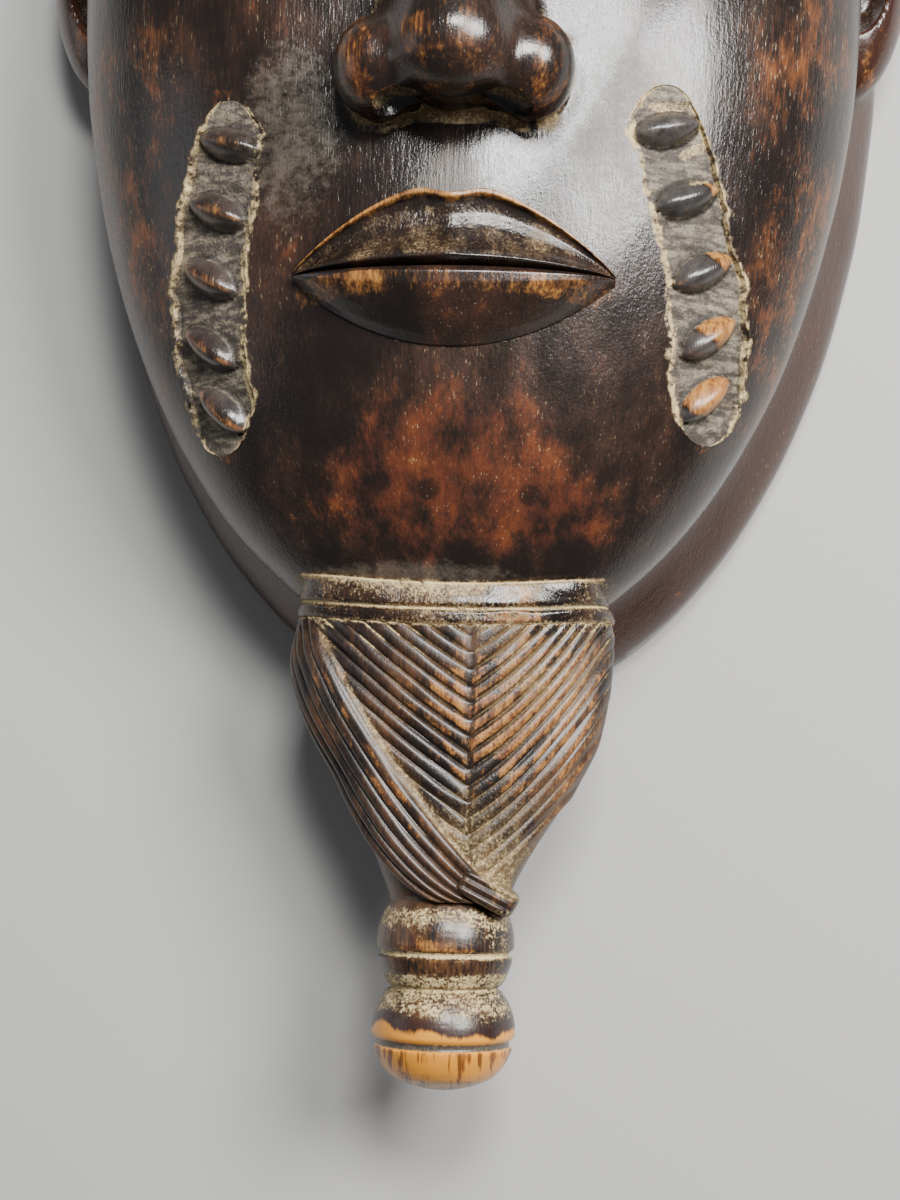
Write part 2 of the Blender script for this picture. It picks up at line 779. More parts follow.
@dataclass(frozen=True)
class CheekMarks:
    """The sunk band on each cheek and the raised almond marks in it."""

    shell: Shell
    left: tuple[Pair, ...] = ((43, 79.5), (45.5, 67.5), (47, 55.5), (47, 43), (44.5, 31.5))
    right: tuple[Pair, ...] = ((39, 82), (43, 70), (46.5, 57.5), (48, 46), (47.5, 35))
    half: float = 7.2
    sink: float = 1.3
    margin: float = 8.0
    radii: tuple[float, float, float] = (6.8, 3.4, 3.8)
    rubbed: tuple[float, ...] = (1.2, 0.4, 0.15, -0.35, -0.75)
    tilt: float = 14.0
    turn: float = 5.0
    faces: Pair = (0.8, 0.2)

    def places(self, side: int) -> tuple[Pair, ...]:
        """Returns where the marks of one side are."""
        return self.left if side < 0 else self.right

    def ends(self, side: int) -> Pair:
        """Returns the y of the band's top and foot."""
        marks = self.places(side)
        return marks[0][1] + self.margin, marks[-1][1] - self.margin

    def centre(self, side: int, y: Array) -> Array:
        """Returns how far out the band's middle is at y."""
        path = np.array(self.places(side)[::-1])
        return np.interp(y, path[:, 1], path[:, 0])

    def reach(self, side: int, y: Array, edge: Array) -> Array:
        """Returns the band's half-width at y, ragged and a little wider beside each mark.

        Args:
            side: -1 for the left and 1 for the right.
            y: How far above the foot of the chin, in millimetres.
            edge: How far outwards from the band's middle, in millimetres.

        Returns:
            One half-width for each place.
        """
        top, foot = self.ends(side)
        ragged = Lattice(21 + side)
        sites = rows(np.sign(edge) * 3.0, y, np.zeros_like(y))
        worn = 0.3 * ragged.at(sites, (1.0, 1.5, 1.0)) + 0.6 * ragged.at(sites + 9, (1.0, 6.0, 1.0))
        scallops = sum(0.5 * peak(y, mark[1], 3.6) for mark in self.places(side))
        along = np.clip(np.abs(2 * (y - foot) / (top - foot) - 1), 0, 1)
        return (self.half - 0.3 + worn + scallops) * (1 - along**6) ** 0.5

    def cutter(self, side: int) -> Item:
        """Makes the form that is cut out of the cheek.

        Args:
            side: -1 for the left and 1 for the right.

        Returns:
            The cutter, a closed form.
        """
        top, foot = self.ends(side)
        outline = ((-0.93, -3), (0.93, -3), (1.02, 0), (1.5, 8), (-1.5, 8), (-1.02, 0), (-0.93, -3))

        def place(turn: Array, share: Array) -> Array:
            y = foot + (top - foot) * (0.5 - 0.5 * np.cos(math.pi * share))
            across, out = faired(outline, part_turn(turn), 0.02).T
            x = self.centre(side, y) + across * self.reach(side, y, across)
            return self.shell.on_face(side * x, y, out)

        return Bench.form("band_cutter", 48, 200, place)

    def ground(self, side: int) -> Item:
        """Makes the band's rough ground with its marks.

        Args:
            side: -1 for the left and 1 for the right.

        Returns:
            The ground, a closed form.
        """
        top, foot = self.ends(side)
        rough = Lattice(31 + side)
        shell = self.shell
        on_top, under = self.faces

        def place(turn: Array, share: Array) -> Array:
            y = foot - 1 + (top - foot + 2) * share
            part = part_turn(turn)
            above = part <= on_top
            across = np.where(above, 1 - 2 * part / on_top, 2 * (part - on_top) / under - 1)
            rim = 1 - ((y - shell.widest_y) / shell.jaw_lower) ** 2
            limit = 0.97 * shell.face_half * np.sqrt(rim)
            x = side * np.minimum(self.centre(side, y) + across * (self.half + 2.6), limit)
            seat = shell.on_face(x, y, -self.sink)
            dents = 0.14 * rough.at(seat, (1.4, 0.9, 1.4)) + 0.4 * rough.at(seat, (5.0, 2.4, 5.0))
            ends = np.minimum(top - y, y - foot)
            shallow = 1 - 0.65 * ramp(0.2, 1.0, -across)
            shallow = shallow * (1 - 0.85 * (1 - ramp(0.5, 8.0, ends)))
            marks = self.marks(seat)
            out = np.where(marks > 0.4, marks - self.sink, marks + dents - self.sink * shallow)
            out = np.where(above, np.minimum(out, np.where(marks > 0, 9.0, -0.2)), -6.0)
            return shell.on_face(x, y, out)

        return Bench.form("band_ground", 56, 170, place)

    def on_mark(self, side: int, index: int, points: Array) -> tuple[Array, Array, Array]:
        """Lays a leaf shape over one mark.

        Args:
            side: -1 for the left cheek and 1 for the right.
            index: The mark's number, counted from the top.
            points: Places on or near the band's ground.

        Returns:
            How far along the leaf each point is, how far across it, both from -1 to 1, and the
            leaf's height, from 0 to 1.
        """
        length, width, _ = self.radii
        x, y = self.places(side)[index]
        seat = self.shell.on_face(side * x, y, -self.sink)
        normal = self.shell.on_face(side * x, y, 1.0) - seat
        normal /= np.linalg.norm(normal)
        angle = side * math.radians(self.tilt + self.turn * index)
        along = np.array((math.cos(angle), math.sin(angle), 0))
        along -= normal * (along @ normal)
        along /= np.linalg.norm(along)
        offset = points - seat
        u = side * (offset @ along) / length
        taper = np.clip(1 - np.abs(u + 0.06 * (1 - u * u)) ** 2.3, 1e-6, 1)
        v = offset @ np.cross(normal, along) / (width * taper**0.72)
        near = (np.abs(offset @ normal) < 9) & (np.abs(u) < 1) & (np.abs(v) < 1)
        leaf = np.clip(1 - np.abs(v) ** 1.8, 0, 1) ** 0.85 * taper**0.5
        return u, v, np.where(near, leaf, 0.0)

    def marks(self, points: Array) -> Array:
        """Returns the marks' height over the sunk ground at each point."""
        total = np.zeros(len(points))
        for side, index in product(SIDES, range(len(self.left))):
            _, _, leaf = self.on_mark(side, index, points)
            total = np.maximum(total, leaf * self.radii[2])
        return total

    def worn(self, points: Array) -> Array:
        """Returns how far each point of a mark is rubbed bare."""
        total = np.zeros(len(points))
        for side, (index, start) in product(SIDES, enumerate(self.rubbed)):
            u, v, leaf = self.on_mark(side, index, points)
            bare = ramp(start, start + 0.4, u + 0.2 * v) if side > 0 else leaf * 0.5
            total = np.maximum(total, np.where(leaf > 0.12, bare, 0.0))
        return total

    def crumbs(self, points: Array) -> Array:
        """Returns 1 on the strips of caked dust beside the first mark on the right.

        Args:
            points: Places in millimetres, one row each.

        Returns:
            One share for each point, from 0 to 1.
        """
        strips = (
            ((0.3, 4.3), 6, (4.4, 0.9)),
            ((4.9, -2.9), 27, (3.4, 1.0)),
            ((6.0, -9.0), 20, (2.4, 0.7)),
        )
        x, y = self.right[0]
        total = np.zeros(len(points))
        for (right, up), angle, (length, width) in strips:
            turn = math.radians(angle)
            across, along = points[:, 0] - x - right, points[:, 1] - y - up
            u = (across * math.cos(turn) + along * math.sin(turn)) / length
            v = (along * math.cos(turn) - across * math.sin(turn)) / width
            total = np.maximum(total, 1 - ramp(0.7, 1.1, np.abs(u) ** 4 + v * v))
        return total * (points[:, 2] > self.shell.jaw_z + 4)

    def across(self, points: Array) -> Array:
        """Returns 0 in the middle of a band, 1 at its edge and more outside it.

        Args:
            points: Places in millimetres, one row each.

        Returns:
            One value for each point.
        """
        total = np.full(len(points), 3.0)
        x, y, z = points.T
        for side in SIDES:
            top, foot = self.ends(side)
            edge = x * side - self.centre(side, y)
            share = np.abs(edge) / np.maximum(self.reach(side, y, edge), 0.3)
            share = share + 3 * np.maximum(0, np.maximum(y - top, foot - y) + 0.2)
            on_front = (x * side > 0) & (z > self.shell.jaw_z + 4)
            total = np.where(on_front, np.minimum(total, share), total)
        return total


@dataclass(frozen=True)
class Beard:
    """The plaited beard: a core, a collar, a herringbone field and a winding strap."""

    axis_z: float = 35.0
    length: float = 61.0
    half: float = 31.5
    neck: float = 11.4
    depth: float = 17.0
    root: float = 10.0
    shoulder: float = 0.15
    collar_height: float = 7.2
    collar_rise: float = 0.35
    collar_line: float = -4.1
    collar_sag: Pair = (1.5, 2.5)
    ledge: float = 1.1
    spine_x: float = 4.5
    pitch: float = 3.1
    slope: float = 0.62
    curves: Pair = (0.005, 0.019)
    groove: float = 0.7
    strap_rise: float = 1.6
    strap_width: float = 20.0
    strap_cords: int = 6
    knob_ends: tuple[float, float, float] = (61.0, 76.4, 96.0)
    knob_halves: Pair = (13.3, 13.8)
    knob_x: float = 0.2
    tie_lean: float = -27.0
    tie_radii: tuple[float, float, float] = (6.0, 2.7, 4.6)

    @property
    def rings(self) -> Pair:
        """The distances down of the knobs' scored rings."""
        neck, waist, tip = self.knob_ends
        return neck + (waist - neck) * 0.6, waist + (tip - waist) * 0.54

    def at(self, y: Array) -> tuple[Array, Array]:
        """Returns the beard's half-width and half-depth at y.

        Args:
            y: How far above the foot of the chin, in millimetres.

        Returns:
            The half-width and the half-depth, one of each for each place.
        """
        down = np.clip(-y / self.length, 0, 1)
        fall = np.cos(math.pi / 2 * np.clip((down - self.shoulder) / 0.9, 0, 1)) ** 1.35
        half = self.neck + (self.half - self.neck) * fall - 1.4 * (1 - ramp(0, self.shoulder, down))
        half = half + 0.5 * peak(down, 0.45, 0.15)
        return half, self.neck + (self.depth - self.neck) * fall

    def centre(self, y: Array) -> Array:
        """Returns the x of the beard's middle, which swings a little to the right."""
        down = np.clip(-y / self.length, 0, 1)
        return (0.6 + 1.7 * peak(down, 0.6, 0.2)) * ramp(0, self.shoulder, down)

    def level(self, x: Array, y: Array) -> Array:
        """Returns how far above the collar's sagging upper edge a point is."""
        low, rise = self.collar_sag
        return y + low - rise * (x / self.half) ** 2

    def on(self, angle: Array, y: Array, out: Array | float = 0.0) -> Array:
        """Returns points on the beard, a quarter turn being its front."""
        half, depth = self.at(y)
        x = self.centre(y) + (half + out) * np.cos(angle)
        return rows(x, y, self.axis_z + (depth + out) * np.sin(angle))

    def angle_of(self, x: Array | float, y: Array) -> Array:
        """Returns how far round to the left of the beard's middle a place on its front is."""
        half, _ = self.at(y)
        return np.arccos(np.clip((x - self.centre(y)) / half, -1, 1))

    def strap_edge(self, y: Array) -> Array:
        """Returns the x of the strap's right-hand edge."""
        t = -y / self.length
        return -29.5 + 42 * t - 20 * t * (1 - t)

    def strap_span(self, y: Array) -> Array:
        """Returns how far round the beard the strap reaches."""
        half, _ = self.at(y)
        return self.strap_width / (half + self.neck) * 1.6

    def core(self) -> Item:
        """Makes the beard's body, under the carving."""

        def place(turn: Array, share: Array) -> Array:
            return self.on(turn, self.root - (self.root + self.length + 2) * share, -1.1)

        return Bench.form("beard_core", 112, 40, place)

    def collar(self) -> Item:
        """Makes the sagging collar, with the line scored round it."""
        low, rise = self.collar_sag
        hand = Lattice(15)

        def place(turn: Array, share: Array) -> Array:
            level = self.ledge - (self.collar_height + self.ledge) * share
            half, _ = self.at(level)
            y = level - low + rise * (half * np.cos(turn) / self.half) ** 2
            sites = self.on(turn, y)
            line = self.collar_line + 0.25 * hand.at(sites, 6.0)
            out = self.collar_rise - 0.7 * peak(level, line, 0.5)
            out = out - 0.5 * ramp(-0.9, 0.0, -self.collar_height - level)
            out = out - 1.0 * ramp(-4.0, self.ledge, level)
            points = self.on(turn, y, out + 0.2 * hand.at(sites + 9, (5.0, 2.0, 5.0)))
            beside = np.abs(np.cos(turn)) ** 2 * np.clip(np.sin(turn), 0, 1) ** 0.25
            points[:, 2] += 6.5 * beside * ramp(-self.collar_height - 1, self.ledge, level)
            return points

        return Bench.form("beard_collar", 112, 44, place)

    def herringbone(self) -> Item:
        """Makes the herringbone field across the front."""
        reach = math.radians(84)
        length = self.length - self.collar_height - 1.0
        phases = (0.0, 0.22, 0.38, 0.46, 0.5, 0.54, 0.62, 0.78)
        lines = spaced(round(length / self.pitch), phases)
        wobble = Lattice(11)

        def place(turn: Array, share: Array) -> Array:
            angle = turn / math.pi % 2.0
            front = angle <= 1.6
            across = np.where(front, angle / 0.8 - 1, 0.9 - (angle - 1.6) / 0.4 * 1.8)
            along = np.interp(share, np.linspace(0, 1, len(lines)), lines)
            apex = -self.collar_height + 1 - length * along
            curve = np.where(across < 0, *self.curves)
            y = apex.copy()
            for _ in range(5):
                half, _ = self.at(y)
                middle = self.centre(y)
                spine = np.arcsin(np.clip((self.spine_x - middle) / half, -1, 1))
                lean = spine + (np.sign(across) * reach - spine) * np.abs(across)
                off = np.abs(middle + half * np.sin(lean) - self.spine_x)
                y = apex + off * (self.slope + off * curve)
            aside = 1 - 2 * np.abs((length * along / self.pitch) % 1.0 - 0.5)
            cut = aside ** (5.5 - 3.0 * ramp(0.1, 0.6, along))
            spine_cut = np.clip(1 - off / 0.7, 0, 1)
            sites = rows(off, apex, np.sign(across))
            depth = self.groove * (0.9 + 0.35 * wobble.at(sites + 5, (5.0, 1.5, 0.5)))
            depth = depth * (1 - 0.75 * ramp(0.8, 0.98, np.abs(across)))
            depth = depth * (1 - 0.5 * bell(off, along, (0, 0.05), (6.0, 0.12)))
            out = 0.25 * wobble.at(sites, (6.0, 2.2, 0.5)) - 0.1
            out = out - np.maximum(depth * cut, self.groove * spine_cut)
            return self.on(math.pi / 2 - lean, y, np.where(front, out, -4.0))

        return Bench.form("herringbone", 136, len(lines) - 1, place)

    def strap(self) -> Item:
        """Makes the winding strap of raised cords."""
        top = -self.collar_height + 3
        bottom = -self.length
        columns = spaced(self.strap_cords, (0.0, 0.05, 0.13, 0.3, 0.5, 0.7, 0.87, 0.95))
        columns = np.array([-0.09, -0.065, -0.04, -0.015, *columns])
        on_top, under = 0.85, 0.15
        marks = np.linspace(0, on_top, len(columns))
        wobble = Lattice(13)

        def place(turn: Array, share: Array) -> Array:
            y = top + (bottom - top) * share
            part = part_turn(turn)
            front = part <= on_top
            across = np.interp(part, marks, columns)
            across = np.where(front, across, 1 - (part - on_top) / under)
            crown = np.abs(np.sin(across * self.strap_cords * math.pi)) ** 0.55
            sites = rows(across * self.strap_cords, y, np.zeros_like(y))
            crown = crown + 0.2 * wobble.at(sites, (1.0, 6.0, 1.0))
            height = self.strap_rise * (0.1 + 0.9 * ramp(6.0, 16.0, -y))
            height = height - 0.7 * ramp(48.0, 60.0, -y)
            out = height - 1.5 * self.groove * (1 - crown)
            out = np.where(across < 0, height - 1.1 - 1.6 * (across / 0.09) ** 2, out)
            angle = self.angle_of(self.strap_edge(y), y) + self.strap_span(y) * across
            return self.on(angle, y, np.where(front, out, -4.0))

        return Bench.form("strap", round((len(columns) - 1) / on_top), 90, place)

    def knobs(self) -> Item:
        """Makes the two knobs, with their scored rings."""
        neck, waist, tip = self.knob_ends
        spans = ((neck - 1, waist), (waist + 0.8, tip - 4))
        rounds = []
        for (start, end), half in zip(spans, self.knob_halves):
            for t in np.linspace(0, 1, 13):
                bulge = math.sin(math.pi * (0.18 + 0.62 * t)) ** 0.38
                rounds.append((start + (end - start) * t, half * bulge))
            rounds.append((end + 0.4, 9.7))
        rounds[-1:] = [(tip - 2.5, 9.8), (tip - 1.3, 7.2), (tip - 0.4, 4.0), (tip, 0.2)]
        table = np.array([(neck - 3, self.neck - 1), *rounds])

        def place(turn: Array, share: Array) -> Array:
            down = table[0, 0] + (table[-1, 0] - table[0, 0]) * share
            radius = np.interp(down, table[:, 0], table[:, 1])
            for ring, half in zip(self.rings, (0.65, 0.9)):
                radius = radius - 0.9 * peak(down, ring, half, 4)
            x = self.knob_x + radius * np.cos(turn)
            return rows(x, -down, self.axis_z + radius * np.sin(turn))

        return Bench.form("knobs", 80, 96, place)

    def tie(self) -> Item:
        """Makes the strap's blunt, tied end."""
        lean = math.radians(self.tie_lean)

        def place(turn: Array, share: Array) -> Array:
            polar = share * math.pi
            unit = rows(np.cos(polar), np.sin(polar) * np.cos(turn), np.sin(polar) * np.sin(turn))
            u, v, w = (np.sign(unit) * np.abs(unit) ** 0.45 * self.tie_radii).T
            cuts = sum(peak(v, cut, 0.4) for cut in (-0.9, 0.9))
            w = w - 0.5 * ramp(0.5, 2.5, w) * cuts
            x = 8.4 + u * math.cos(lean) - v * math.sin(lean)
            y = 2.6 - self.length + u * math.sin(lean) + v * math.cos(lean)
            return rows(x, y, self.axis_z + 8.2 + w - 0.25 * u)

        return Bench.form("tie", 72, 40, place)

    def build(self) -> Item:
        """Joins the beard's forms into one solid."""
        body = self.core()
        forms = [self.herringbone(), self.collar(), self.strap(), self.knobs(), self.tie()]
        Bench.combine(body, forms, Joint.UNION)
        return body

    def weave(self, x: Array, y: Array) -> tuple[Array, Array]:
        """Returns each point's distance from the spine and its row, counted from the collar.

        Args:
            x: How far to the right of the face's middle, in millimetres.
            y: How far above the foot of the chin, in millimetres.

        Returns:
            The distance and the row, one of each for each place.
        """
        off = np.abs(x - self.spine_x)
        curve = np.where(x < self.spine_x, *self.curves)
        apex = y - off * (self.slope + off * curve)
        return off, (1 - self.collar_height - apex) / self.pitch

    def cords(self, points: Array) -> tuple[Array, Array]:
        """Returns each point's cord, counted from the strap's edge, and where the strap is.

        Args:
            points: Places in millimetres, one row each.

        Returns:
            The cord's number, and True or False for the strap, for each point.
        """
        x, y, z = points.T
        half, depth = self.at(y)
        angle = np.arctan2((z - self.axis_z) / depth, (x - self.centre(y)) / half)
        across = (angle - self.angle_of(self.strap_edge(y), y)) / self.strap_span(y)
        return across * self.strap_cords, (across > -0.08) & (across < 1.02)

    def field_lines(self, x: Array, y: Array, level: Array) -> Array:
        """Returns how pale the herringbone's lines are, most so in dashes near the collar.

        Args:
            x: How far to the right of the face's middle, in millimetres.
            y: How far above the foot of the chin, in millimetres.
            level: How far above the collar's upper edge, in millimetres.

        Returns:
            One share for each place, from 0 to 1.
        """
        off, row = self.weave(x, y)
        near = ramp(-15.0, -10.0, level)
        lines = peak(row % 1.0, 0.5, 0.1 + 0.05 * near) * ramp(0.5, 1.2, off)
        sites = rows(off, np.round(row - 0.5), np.zeros_like(x))
        dashes = Lattice(19).at(sites, (2.5, 1.0, 1.0))
        near = near * ramp(-0.5, 0.3, dashes) * (1 - 0.7 * bell(off, y, (0, -10), (5, 6)))
        return lines * (0.3 + 0.25 * ramp(-40.0, -20.0, level) + 0.45 * near)

    def collar_lines(self, x: Array, level: Array) -> Array:
        """Returns how pale the lines on the collar are: its score, its foot and its ledge.

        Args:
            x: How far to the right of the face's middle, in millimetres.
            level: How far above the collar's upper edge, in millimetres.

        Returns:
            One share for each place, from 0 to 1.
        """
        on_ledge = (np.abs(x) < self.half - 2.2) & (np.abs(level - self.ledge) < 0.9)
        score = peak(level, self.collar_line, 0.42)
        foot = 0.9 * peak(level, -self.collar_height, 0.5)
        return score + foot + 0.85 * peak(level, self.ledge - 0.3, 0.55) * on_ledge

    def scored(self, points: Array) -> Array:
        """Returns 1 along the cut lines with pale dust, about a half along the others.

        Args:
            points: Places in millimetres, one row each.

        Returns:
            One share for each point, from 0 to 1.
        """
        x, y, z = points.T
        level = self.level(x, y)
        cord, on_strap = self.cords(points)
        cords = 0.6 * peak(cord, np.round(cord), 0.09) * (cord > -0.3)
        lines = np.where(on_strap, cords, self.field_lines(x, y, level))
        on_collar = level > -self.collar_height - 0.3
        lines = np.where(on_collar, self.collar_lines(x, level), lines)
        rings = sum(peak(y, -ring, half, 4) for ring, half in zip(self.rings, (0.75, 1.0)))
        lines = np.where(y < -self.length, rings * np.where(y < -80, 0.6, 1.0), lines)
        return lines * (level < 2.6) * (z > self.axis_z - 8)

    def worn(self, points: Array) -> Array:
        """Returns how far the plait, the collar and the upper knob are rubbed.

        Args:
            points: Places in millimetres, one row each.

        Returns:
            One share for each point, from 0 to 1.
        """
        x, y, _ = points.T
        off, row = self.weave(x, y)
        cord, on_strap = self.cords(points)
        sites = rows(off, row, np.sign(x - self.spine_x))
        sites = np.where(on_strap[:, None], rows(cord, 0.3 * y, np.zeros_like(y)), sites)
        fibre = Lattice(17)
        streaks = 0.5 * fibre.at(sites, (1.9, 0.33, 0.5))
        streaks = streaks + 0.4 * fibre.at(sites + 7, (5.0, 1.4, 0.5))
        rubbed = (
            (0.75, (1, -24), (8, 9)), (1.3, (18, -21), (10, 13)), (0.35, (8, -38), (12, 9)),
        )
        field = hills(x, y, rubbed)
        strap = 0.9 * bell(x + 0.55 * y, y, (-31, -30), (5, 18))
        crest = ramp(0.1, 0.45, 1 - 2 * np.abs(np.where(on_strap, cord, row + 0.5) % 1.0 - 0.5))
        plait = 0.9 * np.where(on_strap, strap, field) + 0.6 * streaks - 0.2
        knob = 0.85 * bell(x, 0, (-2, 0), (7, 1)) * peak(y, 2.0 - self.rings[0], 1.7)
        worn = np.where(y < -self.length, knob, np.clip(plait, 0, 1) * crest)
        collar = hills(x, y, ((0.9, (13, -1.8), (7, 2.0)), (0.8, (12, -7), (7, 1.4))))
        return np.where(self.level(x, y) > -self.collar_height, collar * (y < 0.5), worn)

    def knob_dust(self, x: Array, y: Array) -> Array:
        """Returns how thick the dust lies on the shoulders of the knobs.

        Args:
            x: How far to the right of the face's middle, in millimetres.
            y: How far above the foot of the chin, in millimetres.

        Returns:
            One share for each place.
        """
        neck, waist, _ = self.knob_ends
        on_neck = peak(y, -neck - 2.2, 2.6) * (1 - 0.35 * ramp(5.0, 9.0, x))
        on_neck = on_neck + 0.7 * bell(x, y, (11, -68), (3, 3.5))
        up = y + waist
        bevel = ramp(-0.6, 0.0, up) * (1 - ramp(2.0, 3.6, up))
        return on_neck + bevel + 0.9 * ramp(-8.0, -4.0, up) * (1 - ramp(-0.6, 0.0, up))

    def collar_dust(self, x: Array, y: Array, level: Array) -> Array:
        """Returns how thick the dust lies on the collar and on the ledge over it.

        Args:
            x: How far to the right of the face's middle, in millimetres.
            y: How far above the foot of the chin, in millimetres.
            level: How far above the collar's upper edge, in millimetres.

        Returns:
            One share for each place.
        """
        on_collar = (level > -self.collar_height) & (level < self.ledge) & (np.abs(x) < self.half)
        upper = ramp(-3.5, 0.5, level) * bell(x, 0, (-6, 0), (16, 1))
        thick = 0.48 + 0.35 * upper + 0.12 * bell(x, 0, (2, 0), (12, 1))
        return 0.5 * peak(level, 3.5, 2.0) * bell(x, y, (-2, 2), (26, 9)) + on_collar * thick

    def plait_dust(self, x: Array, y: Array, level: Array) -> Array:
        """Returns how thick the dust lies on the herringbone and along the strap's edge.

        Args:
            x: How far to the right of the face's middle, in millimetres.
            y: How far above the foot of the chin, in millimetres.
            level: How far above the collar's upper edge, in millimetres.

        Returns:
            One share for each place.
        """
        inner = x - self.strap_edge(y)
        field = 0.2 + 0.47 * ramp(24.0, 46.0, -y)
        field = field + hills(x, y, ((0.3, (6, -53), (9, 6)), (0.6, (17, -17), (10, 8))))
        strap = 0.9 * peak(inner, 0.9, 1.0) + 0.1 * (inner < 0)
        return (np.where(inner > 0, field, 0.0) + strap) * (y > -60) * (level < -self.collar_height)

    def dusty(self, x: Array, y: Array) -> Array:
        """Returns how thick the dust lies on the beard."""
        level = self.level(x, y)
        dust = self.knob_dust(x, y) + self.collar_dust(x, y, level)
        return dust + self.plait_dust(x, y, level)


class Mask:
    """The whole carving, from its forms to one closed mesh in the frame."""

    name = "mask_carving"
    head_triangles = 84_000
    hollow_shares = (0.6, 0.3, 0.1)
    gouge_cell = (7.0, 16.0, 9.0)
    gouge_depth = 0.006
    facet_cell = (9.0, 14.0, 9.0)
    facet_depth = 0.14
    flat_below = 0.4
    sharp_angle = 50

    def __init__(self, lowest_y: float) -> None:
        """Takes the y of the mask's lowest point in the frame, in metres."""
        self.shell = Shell()
        self.hair = Hair(self.shell)
        self.head = Head(self.shell, self.hair)
        self.marks = CheekMarks(self.shell)
        self.beard = Beard()
        self.shift_y = lowest_y + self.beard.knob_ends[2] * MM

    def hollow(self) -> Item:
        """Makes the hollow behind the face, with the marks of the gouge."""
        shell = self.shell
        upper = shell.jaw_upper - shell.wall
        below = -5
        heights = (below, shell.flare_lip, shell.neck_z)
        halves = np.array((shell.flare_half, shell.flare_half, shell.neck_half)) - shell.wall
        lowers = (shell.flare_lower - 12, shell.flare_lower - 14, shell.neck_lower - 12)
        roof = shell.jaw_z + shell.dome_rise - shell.wall - 2
        centre = np.array((0, shell.widest_y, 0))
        marks = Lattice(5)
        dome_share, wall_share, floor_share = self.hollow_shares

        def place(turn: Array, share: Array) -> Array:
            polar = np.clip(share / dome_share, 0, 1) * math.pi / 2
            spread = np.sin(polar) ** 0.9
            down = np.clip((share - dome_share) / wall_share, 0, 1)
            z_wall = shell.neck_z - down * (shell.neck_z - below)
            half = np.interp(z_wall, heights, halves)
            lower = np.interp(z_wall, heights, lowers)
            shrink = np.clip((1 - share) / floor_share, 0, 1)
            x, y = shell.egg(turn, half * spread, lower * spread, upper * spread)
            dome = shell.neck_z + (roof - shell.neck_z) * np.cos(polar)
            points = rows(x, y, np.where(share <= dome_share, dome, z_wall))
            gouge = self.gouge_depth * np.abs(marks.at(points, self.gouge_cell))
            points = points - (points - centre) * gouge[:, None]
            points[:, :2] = (points[:, :2] - centre[:2]) * shrink[:, None] + centre[:2]
            return points

        return Bench.form("hollow", 96, 64, place)

    def detailed(self, points: Array) -> Array:
        """Returns True near the lips, the bands and the collar's seam.

        Args:
            points: Places in millimetres, one row each.

        Returns:
            True or False for each point.
        """
        x, y, z = points.T
        bands = self.marks.across(points) < 1.45
        seam = (np.abs(y - 1) < 3.0) & (np.abs(x) < 34)
        return (self.head.near_lips(x, y) | bands | seam) & (z > self.beard.axis_z)

    def relief(self, item: Item) -> None:
        """Carves the fillet's lines and the tool's facets into the head.

        Args:
            item: The object.
        """
        points = Bench.points(item)
        facets = self.facet_depth * Lattice(3).at(points, self.facet_cell)
        out = facets * (points[:, 2] > 1.0) - self.hair.lines(points)
        Bench.move(item, points + Bench.normals(item) * out[:, None])

    def carve(self) -> Item:
        """Builds the carving on the face's own axes, in millimetres."""
        carving = self.head.build()
        log.info("head fused: %d points", len(carving.data.vertices))
        self.relief(carving)
        Bench.thin(carving, self.head_triangles, self.detailed(Bench.points(carving)))
        log.info("head thinned: %d points", len(carving.data.vertices))
        Bench.combine(carving, self.head.details(), Joint.UNION)
        Bench.combine(carving, [self.marks.cutter(side) for side in SIDES], Joint.CUT)
        Bench.combine(carving, [self.marks.ground(side) for side in SIDES], Joint.UNION)
        Bench.combine(carving, [self.beard.build()], Joint.UNION)
        Bench.combine(carving, [self.hollow(), *self.head.openings()], Joint.CUT)
        points = Bench.points(carving)
        points[:, 2] = np.where(points[:, 2] < self.flat_below, 0.0, points[:, 2])
        Bench.move(carving, points)
        return carving

    def build(self) -> Item:
        """Builds the mask and moves it to its place in the frame.

        Returns:
            The finished mesh object, named mask_carving.
        """
        carving = self.carve()
        self.colour_fields(carving)
        place = Matrix.Scale(MM, 4) @ Matrix.Translation((0, self.shift_y / MM, 0))
        carving.data.transform(place)
        carving.name = self.name
        carving.data.name = self.name
        Bench.pick(carving)
        bpy.ops.object.shade_smooth_by_angle(angle=math.radians(self.sharp_angle))
        log.info("%s: %d triangles", self.name, Bench.triangles(carving))
        return carving

    def colour_fields(self, item: Item) -> None:
        """Writes the point attributes that the finish reads."""
        points = Bench.points(item)
        fields = {
            "cavity": Bench.depth(item, 5),
            "form": Bench.depth(item, 30),
            "across": self.marks.across(points),
            "mark": self.marks.marks(points) / self.marks.radii[2],
            "worn": self.worn(points),
            "dusty": self.dusty(points),
            "scored": self.beard.scored(points),
        }
        for name, values in fields.items():
            attribute = item.data.attributes.new(name, "FLOAT", "POINT")
            attribute.data.foreach_set("value", values.astype(np.float32))

    def worn(self, points: Array) -> Array:
        """Returns 1 where handling has rubbed the wood bare and 0 where it has not."""
        x, y, z = points.T
        total = self.marks.worn(points) + self.head.worn(x, y) + self.beard.worn(points)
        return np.clip(total, 0, 1) * (z > self.beard.axis_z - 10)

    def dusty(self, points: Array) -> Array:
        """Returns 1 where dust lies thick and 0 where there is none."""
        x, y, z = points.T
        total = self.beard.dusty(x, y) + self.head.dusty(x, y) + self.marks.crumbs(points)
        return np.clip(total * ramp(30, 40, z), 0, 1)


